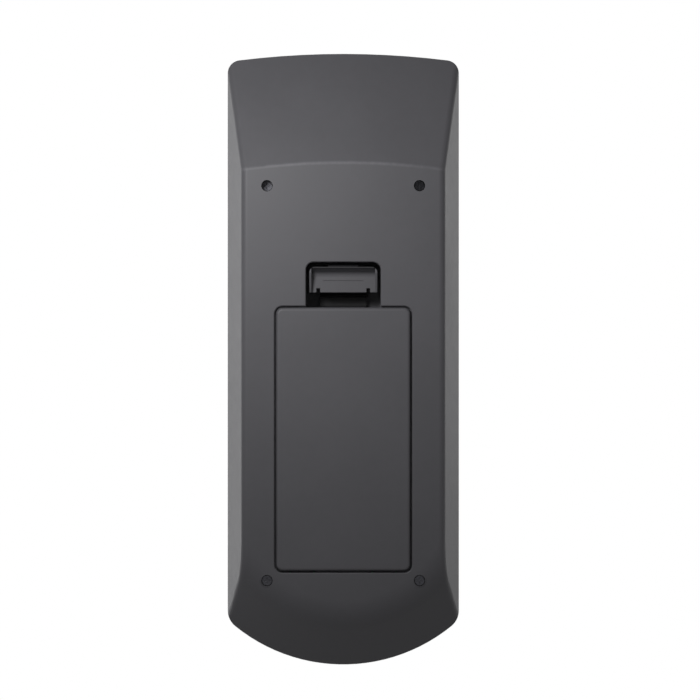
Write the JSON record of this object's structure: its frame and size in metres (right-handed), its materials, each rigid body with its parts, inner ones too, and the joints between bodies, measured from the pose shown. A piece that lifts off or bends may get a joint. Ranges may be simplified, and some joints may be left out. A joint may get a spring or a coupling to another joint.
{
  "type": "av receiver remote control",
  "caption": "Long hand-held remote control with a sloped head, rounded tail, sprung keys, an infra-red window and a hinged battery door with a finger latch.",
  "frame": {"origin": "middle of the case's length and width, on the flat back face that it rests on", "axes": "+X to the right seen from the key side, +Y from the rounded tail to the infra-red head end, +Z from the back to the key side"},
  "size_m": [0.062, 0.1638, 0.0257],
  "materials": {
    "rear_plastic": "fine-textured charcoal moulding",
    "front_plastic": "fine-textured charcoal moulding",
    "door_plastic": "fine-textured charcoal moulding",
    "latch_plastic": "fine-textured charcoal moulding",
    "cell_wrap": "shrink sleeve over a steel can, plain",
    "contact_metal": "nickel-plated spring steel",
    "mat_rubber": "pale grey silicone",
    "board": "green solder resist",
    "chip_plastic": "black moulded package",
    "resonator_metal": "tinned can",
    "capacitor_sleeve": "dark blue sleeve, plain",
    "ir_window_plastic": "infra-red filter plastic, near black",
    "emitter_lens": "blue-tinted epoxy",
    "screw_steel": "blackened steel",
    "key_plastic": "satin dark grey keys",
    "power_key_plastic": "satin red keys"
  },
  "bodies": {
    "case": {"battery_cell_left": "cell_wrap", "battery_cell_right": "cell_wrap", "capacitor": "capacitor_sleeve", "case_screws": "screw_steel", "contact_bridge": "contact_metal", "contact_negative": "contact_metal", "contact_positive": "contact_metal", "control_chip": "chip_plastic", "front_housing": "front_plastic", "ir_emitters": "emitter_lens", "ir_window": "ir_window_plastic", "key_mat": "mat_rubber", "main_board": "board", "rear_housing": "rear_plastic", "resonator": "resonator_metal"},
    "battery_door": {"battery_door": "door_plastic"},
    "door_latch": {"door_latch": "latch_plastic"},
    "back_key": {"back_key": "key_plastic"},
    "channel_down_key": {"channel_down_key": "key_plastic"},
    "channel_up_key": {"channel_up_key": "key_plastic"},
    "clear_key": {"clear_key": "key_plastic"},
    "cursor_down_key": {"cursor_down_key": "key_plastic"},
    "cursor_left_key": {"cursor_left_key": "key_plastic"},
    "cursor_right_key": {"cursor_right_key": "key_plastic"},
    "cursor_up_key": {"cursor_up_key": "key_plastic"},
    "enter_key": {"enter_key": "key_plastic"},
    "forward_key": {"forward_key": "key_plastic"},
    "home_key": {"home_key": "key_plastic"},
    "input_key_1": {"input_key_1": "key_plastic"},
    "input_key_2": {"input_key_2": "key_plastic"},
    "input_key_3": {"input_key_3": "key_plastic"},
    "input_key_4": {"input_key_4": "key_plastic"},
    "input_key_5": {"input_key_5": "key_plastic"},
    "input_key_6": {"input_key_6": "key_plastic"},
    "input_key_7": {"input_key_7": "key_plastic"},
    "input_key_8": {"input_key_8": "key_plastic"},
    "menu_key": {"menu_key": "key_plastic"},
    "mute_key": {"mute_key": "key_plastic"},
    "next_key": {"next_key": "key_plastic"},
    "number_key_0": {"number_key_0": "key_plastic"},
    "number_key_1": {"number_key_1": "key_plastic"},
    "number_key_2": {"number_key_2": "key_plastic"},
    "number_key_3": {"number_key_3": "key_plastic"},
    "number_key_4": {"number_key_4": "key_plastic"},
    "number_key_5": {"number_key_5": "key_plastic"},
    "number_key_6": {"number_key_6": "key_plastic"},
    "number_key_7": {"number_key_7": "key_plastic"},
    "number_key_8": {"number_key_8": "key_plastic"},
    "number_key_9": {"number_key_9": "key_plastic"},
    "play_key": {"play_key": "key_plastic"},
    "power_key": {"power_key": "power_key_plastic"},
    "previous_key": {"previous_key": "key_plastic"},
    "recall_key": {"recall_key": "key_plastic"},
    "rewind_key": {"rewind_key": "key_plastic"},
    "setup_key": {"setup_key": "key_plastic"},
    "source_power_key": {"source_power_key": "power_key_plastic"},
    "stop_key": {"stop_key": "key_plastic"},
    "volume_down_key": {"volume_down_key": "key_plastic"},
    "volume_up_key": {"volume_up_key": "key_plastic"}
  },
  "joints": [
    {"name": "battery_door_hinge", "type": "hinge", "parent": "case", "child": "battery_door", "pos_m": [0, -0.05675, 0], "axis": [-1, 0, 0], "range_deg": [0, 50]},
    {"name": "battery_latch_flex", "type": "hinge", "parent": "battery_door", "child": "door_latch", "pos_m": [0, 0.0184, 0.0116], "axis": [-1, 0, 0], "range_deg": [0, 5.5], "stiffness_Nm_per_rad": 0.3},
    {"name": "back_key_press", "type": "slide", "parent": "case", "child": "back_key", "axis": [0, 0, -1], "range_m": [0, 0.0008], "stiffness_N_per_m": 600, "springref_m": -0.0005},
    {"name": "channel_down_key_press", "type": "slide", "parent": "case", "child": "channel_down_key", "axis": [0, 0, -1], "range_m": [0, 0.0008], "stiffness_N_per_m": 600, "springref_m": -0.0005},
    {"name": "channel_up_key_press", "type": "slide", "parent": "case", "child": "channel_up_key", "axis": [0, 0, -1], "range_m": [0, 0.0008], "stiffness_N_per_m": 600, "springref_m": -0.0005},
    {"name": "clear_key_press", "type": "slide", "parent": "case", "child": "clear_key", "axis": [0, 0, -1], "range_m": [0, 0.0008], "stiffness_N_per_m": 600, "springref_m": -0.0005},
    {"name": "cursor_down_key_press", "type": "slide", "parent": "case", "child": "cursor_down_key", "axis": [0, 0, -1], "range_m": [0, 0.0008], "stiffness_N_per_m": 600, "springref_m": -0.0005},
    {"name": "cursor_left_key_press", "type": "slide", "parent": "case", "child": "cursor_left_key", "axis": [0, 0, -1], "range_m": [0, 0.0008], "stiffness_N_per_m": 600, "springref_m": -0.0005},
    {"name": "cursor_right_key_press", "type": "slide", "parent": "case", "child": "cursor_right_key", "axis": [0, 0, -1], "range_m": [0, 0.0008], "stiffness_N_per_m": 600, "springref_m": -0.0005},
    {"name": "cursor_up_key_press", "type": "slide", "parent": "case", "child": "cursor_up_key", "axis": [0, 0, -1], "range_m": [0, 0.0008], "stiffness_N_per_m": 600, "springref_m": -0.0005},
    {"name": "enter_key_press", "type": "slide", "parent": "case", "child": "enter_key", "axis": [0, 0, -1], "range_m": [0, 0.0008], "stiffness_N_per_m": 600, "springref_m": -0.0005},
    {"name": "forward_key_press", "type": "slide", "parent": "case", "child": "forward_key", "axis": [0, 0, -1], "range_m": [0, 0.0008], "stiffness_N_per_m": 600, "springref_m": -0.0005},
    {"name": "home_key_press", "type": "slide", "parent": "case", "child": "home_key", "axis": [0, 0, -1], "range_m": [0, 0.0008], "stiffness_N_per_m": 600, "springref_m": -0.0005},
    {"name": "input_key_1_press", "type": "slide", "parent": "case", "child": "input_key_1", "axis": [0, 0, -1], "range_m": [0, 0.0008], "stiffness_N_per_m": 600, "springref_m": -0.0005},
    {"name": "input_key_2_press", "type": "slide", "parent": "case", "child": "input_key_2", "axis": [0, 0, -1], "range_m": [0, 0.0008], "stiffness_N_per_m": 600, "springref_m": -0.0005},
    {"name": "input_key_3_press", "type": "slide", "parent": "case", "child": "input_key_3", "axis": [0, 0, -1], "range_m": [0, 0.0008], "stiffness_N_per_m": 600, "springref_m": -0.0005},
    {"name": "input_key_4_press", "type": "slide", "parent": "case", "child": "input_key_4", "axis": [0, 0, -1], "range_m": [0, 0.0008], "stiffness_N_per_m": 600, "springref_m": -0.0005},
    {"name": "input_key_5_press", "type": "slide", "parent": "case", "child": "input_key_5", "axis": [0, 0, -1], "range_m": [0, 0.0008], "stiffness_N_per_m": 600, "springref_m": -0.0005},
    {"name": "input_key_6_press", "type": "slide", "parent": "case", "child": "input_key_6", "axis": [0, 0, -1], "range_m": [0, 0.0008], "stiffness_N_per_m": 600, "springref_m": -0.0005},
    {"name": "input_key_7_press", "type": "slide", "parent": "case", "child": "input_key_7", "axis": [0, 0, -1], "range_m": [0, 0.0008], "stiffness_N_per_m": 600, "springref_m": -0.0005},
    {"name": "input_key_8_press", "type": "slide", "parent": "case", "child": "input_key_8", "axis": [0, 0, -1], "range_m": [0, 0.0008], "stiffness_N_per_m": 600, "springref_m": -0.0005},
    {"name": "menu_key_press", "type": "slide", "parent": "case", "child": "menu_key", "axis": [0, 0, -1], "range_m": [0, 0.0008], "stiffness_N_per_m": 600, "springref_m": -0.0005},
    {"name": "mute_key_press", "type": "slide", "parent": "case", "child": "mute_key", "axis": [0, 0, -1], "range_m": [0, 0.0008], "stiffness_N_per_m": 600, "springref_m": -0.0005},
    {"name": "next_key_press", "type": "slide", "parent": "case", "child": "next_key", "axis": [0, 0, -1], "range_m": [0, 0.0008], "stiffness_N_per_m": 600, "springref_m": -0.0005},
    {"name": "number_key_0_press", "type": "slide", "parent": "case", "child": "number_key_0", "axis": [0, 0, -1], "range_m": [0, 0.0008], "stiffness_N_per_m": 600, "springref_m": -0.0005},
    {"name": "number_key_1_press", "type": "slide", "parent": "case", "child": "number_key_1", "axis": [0, 0, -1], "range_m": [0, 0.0008], "stiffness_N_per_m": 600, "springref_m": -0.0005},
    {"name": "number_key_2_press", "type": "slide", "parent": "case", "child": "number_key_2", "axis": [0, 0, -1], "range_m": [0, 0.0008], "stiffness_N_per_m": 600, "springref_m": -0.0005},
    {"name": "number_key_3_press", "type": "slide", "parent": "case", "child": "number_key_3", "axis": [0, 0, -1], "range_m": [0, 0.0008], "stiffness_N_per_m": 600, "springref_m": -0.0005},
    {"name": "number_key_4_press", "type": "slide", "parent": "case", "child": "number_key_4", "axis": [0, 0, -1], "range_m": [0, 0.0008], "stiffness_N_per_m": 600, "springref_m": -0.0005},
    {"name": "number_key_5_press", "type": "slide", "parent": "case", "child": "number_key_5", "axis": [0, 0, -1], "range_m": [0, 0.0008], "stiffness_N_per_m": 600, "springref_m": -0.0005},
    {"name": "number_key_6_press", "type": "slide", "parent": "case", "child": "number_key_6", "axis": [0, 0, -1], "range_m": [0, 0.0008], "stiffness_N_per_m": 600, "springref_m": -0.0005},
    {"name": "number_key_7_press", "type": "slide", "parent": "case", "child": "number_key_7", "axis": [0, 0, -1], "range_m": [0, 0.0008], "stiffness_N_per_m": 600, "springref_m": -0.0005},
    {"name": "number_key_8_press", "type": "slide", "parent": "case", "child": "number_key_8", "axis": [0, 0, -1], "range_m": [0, 0.0008], "stiffness_N_per_m": 600, "springref_m": -0.0005},
    {"name": "number_key_9_press", "type": "slide", "parent": "case", "child": "number_key_9", "axis": [0, 0, -1], "range_m": [0, 0.0008], "stiffness_N_per_m": 600, "springref_m": -0.0005},
    {"name": "play_key_press", "type": "slide", "parent": "case", "child": "play_key", "axis": [0, 0, -1], "range_m": [0, 0.0008], "stiffness_N_per_m": 600, "springref_m": -0.0005},
    {"name": "power_key_press", "type": "slide", "parent": "case", "child": "power_key", "axis": [0, 0, -1], "range_m": [0, 0.0008], "stiffness_N_per_m": 600, "springref_m": -0.0005},
    {"name": "previous_key_press", "type": "slide", "parent": "case", "child": "previous_key", "axis": [0, 0, -1], "range_m": [0, 0.0008], "stiffness_N_per_m": 600, "springref_m": -0.0005},
    {"name": "recall_key_press", "type": "slide", "parent": "case", "child": "recall_key", "axis": [0, 0, -1], "range_m": [0, 0.0008], "stiffness_N_per_m": 600, "springref_m": -0.0005},
    {"name": "rewind_key_press", "type": "slide", "parent": "case", "child": "rewind_key", "axis": [0, 0, -1], "range_m": [0, 0.0008], "stiffness_N_per_m": 600, "springref_m": -0.0005},
    {"name": "setup_key_press", "type": "slide", "parent": "case", "child": "setup_key", "axis": [0, 0, -1], "range_m": [0, 0.0008], "stiffness_N_per_m": 600, "springref_m": -0.0005},
    {"name": "source_power_key_press", "type": "slide", "parent": "case", "child": "source_power_key", "axis": [0, 0, -1], "range_m": [0, 0.0008], "stiffness_N_per_m": 600, "springref_m": -0.0005},
    {"name": "stop_key_press", "type": "slide", "parent": "case", "child": "stop_key", "axis": [0, 0, -1], "range_m": [0, 0.0008], "stiffness_N_per_m": 600, "springref_m": -0.0005},
    {"name": "volume_down_key_press", "type": "slide", "parent": "case", "child": "volume_down_key", "axis": [0, 0, -1], "range_m": [0, 0.0008], "stiffness_N_per_m": 600, "springref_m": -0.0005},
    {"name": "volume_up_key_press", "type": "slide", "parent": "case", "child": "volume_up_key", "axis": [0, 0, -1], "range_m": [0, 0.0008], "stiffness_N_per_m": 600, "springref_m": -0.0005}
  ]
}
